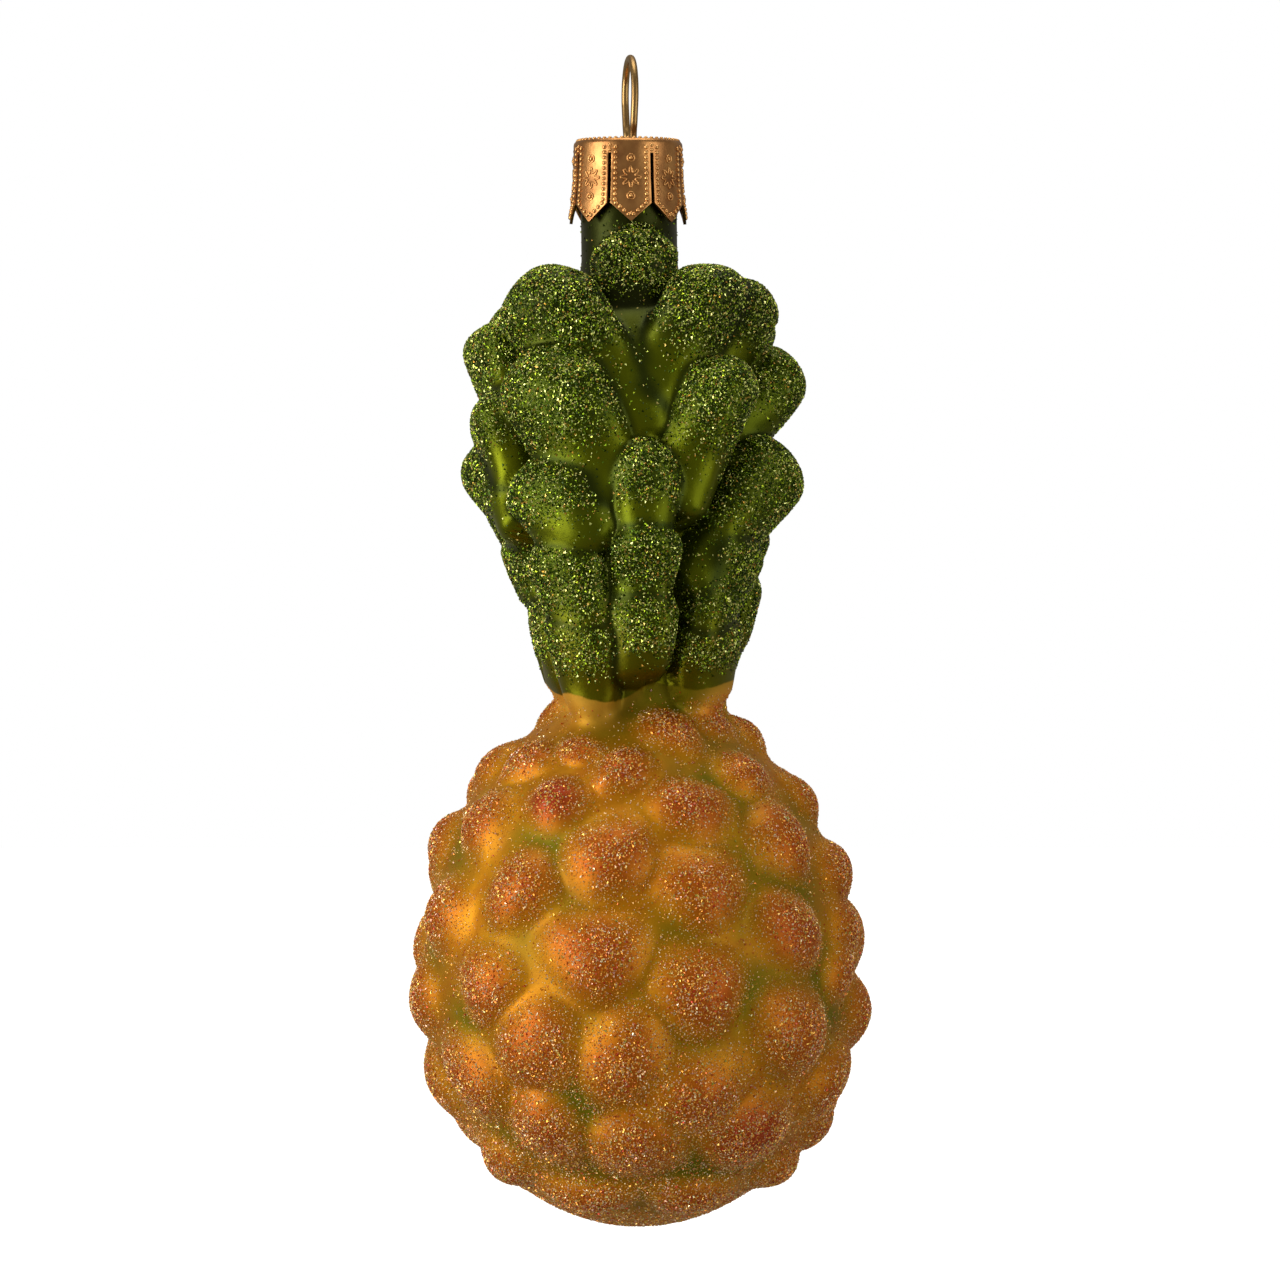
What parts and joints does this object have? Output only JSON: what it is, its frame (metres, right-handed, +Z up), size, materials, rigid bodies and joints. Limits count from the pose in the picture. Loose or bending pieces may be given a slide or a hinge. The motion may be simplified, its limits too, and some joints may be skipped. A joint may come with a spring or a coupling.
{
  "type": "pineapple-shaped glass hanging ornament",
  "caption": "Hollow blown-glass hanging ornament shaped as a pineapple, with a glittered leafy crown and bumpy fruit, a stamped metal cap and a sprung wire hanging loop.",
  "frame": {"origin": "the hang point: the underside of the top of the wire loop", "axes": "+Z up along the ornament as it hangs, -Y the front face, +X the viewer's right"},
  "size_m": [0.0456, 0.046, 0.117],
  "materials": {
    "painted_glass": "lacquered orange-yellow fruit with green leaves, satin, with glitter",
    "cap_metal": "embossed, warm gold",
    "hanger_wire": "antique, polished"
  },
  "bodies": {
    "root": {"glass_body": "painted_glass", "cap": "cap_metal", "hanger": "hanger_wire"}
  },
  "joints": []
}
